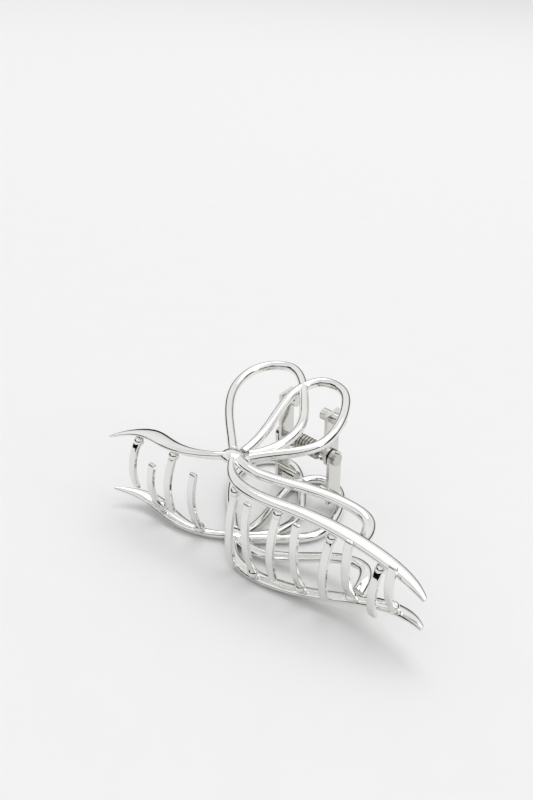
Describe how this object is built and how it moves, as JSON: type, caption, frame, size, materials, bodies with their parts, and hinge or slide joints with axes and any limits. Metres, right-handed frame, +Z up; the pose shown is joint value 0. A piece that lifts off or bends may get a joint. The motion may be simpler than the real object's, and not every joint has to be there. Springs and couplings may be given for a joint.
{
  "type": "claw hair clip",
  "caption": "Metal claw hair clip whose two jaws are open ribbon bows with curved teeth, joined by a sprung hinge under the finger loops.",
  "frame": {"origin": "bottom centre of the closed clip lying on its side, on the table", "axes": "+X along the clip toward its long tail, +Y from the teeth to the finger loops, +Z up"},
  "size_m": [0.1002, 0.0582, 0.0376],
  "materials": {
    "silver": "mirror-bright plated",
    "ear_sheet": "bright plated sheet",
    "pin_steel": "bright",
    "spring_steel": "drawn wire"
  },
  "bodies": {
    "lower_jaw": {"hinge_pin": "pin_steel", "lower_knot": "silver", "lower_left_ear": "ear_sheet", "lower_left_loop": "silver", "lower_left_tail": "silver", "lower_rear_strand": "silver", "lower_right_ear": "ear_sheet", "lower_right_loop": "silver", "lower_right_tail": "silver", "lower_tooth_1": "silver", "lower_tooth_2": "silver", "lower_tooth_3": "silver", "lower_tooth_4": "silver", "lower_tooth_5": "silver", "lower_tooth_6": "silver", "lower_tooth_beads": "silver", "spring_coil": "spring_steel", "spring_lower_arm": "spring_steel"},
    "upper_jaw": {"upper_knot": "silver", "upper_left_ear": "ear_sheet", "upper_left_loop": "silver", "upper_left_tail": "silver", "upper_rear_strand": "silver", "upper_right_ear": "ear_sheet", "upper_right_loop": "silver", "upper_right_tail": "silver", "upper_tooth_1": "silver", "upper_tooth_2": "silver", "upper_tooth_3": "silver", "upper_tooth_4": "silver", "upper_tooth_5": "silver", "upper_tooth_6": "silver", "upper_tooth_beads": "silver", "spring_upper_arm": "spring_steel"}
  },
  "joints": [
    {"name": "jaw_hinge", "type": "hinge", "parent": "lower_jaw", "child": "upper_jaw", "pos_m": [-0.01555, 0.01717, 0.018], "axis": [-1, 0, 0], "range_deg": [0, 45], "stiffness_Nm_per_rad": 0.12, "springref_deg": -34.38}
  ]
}
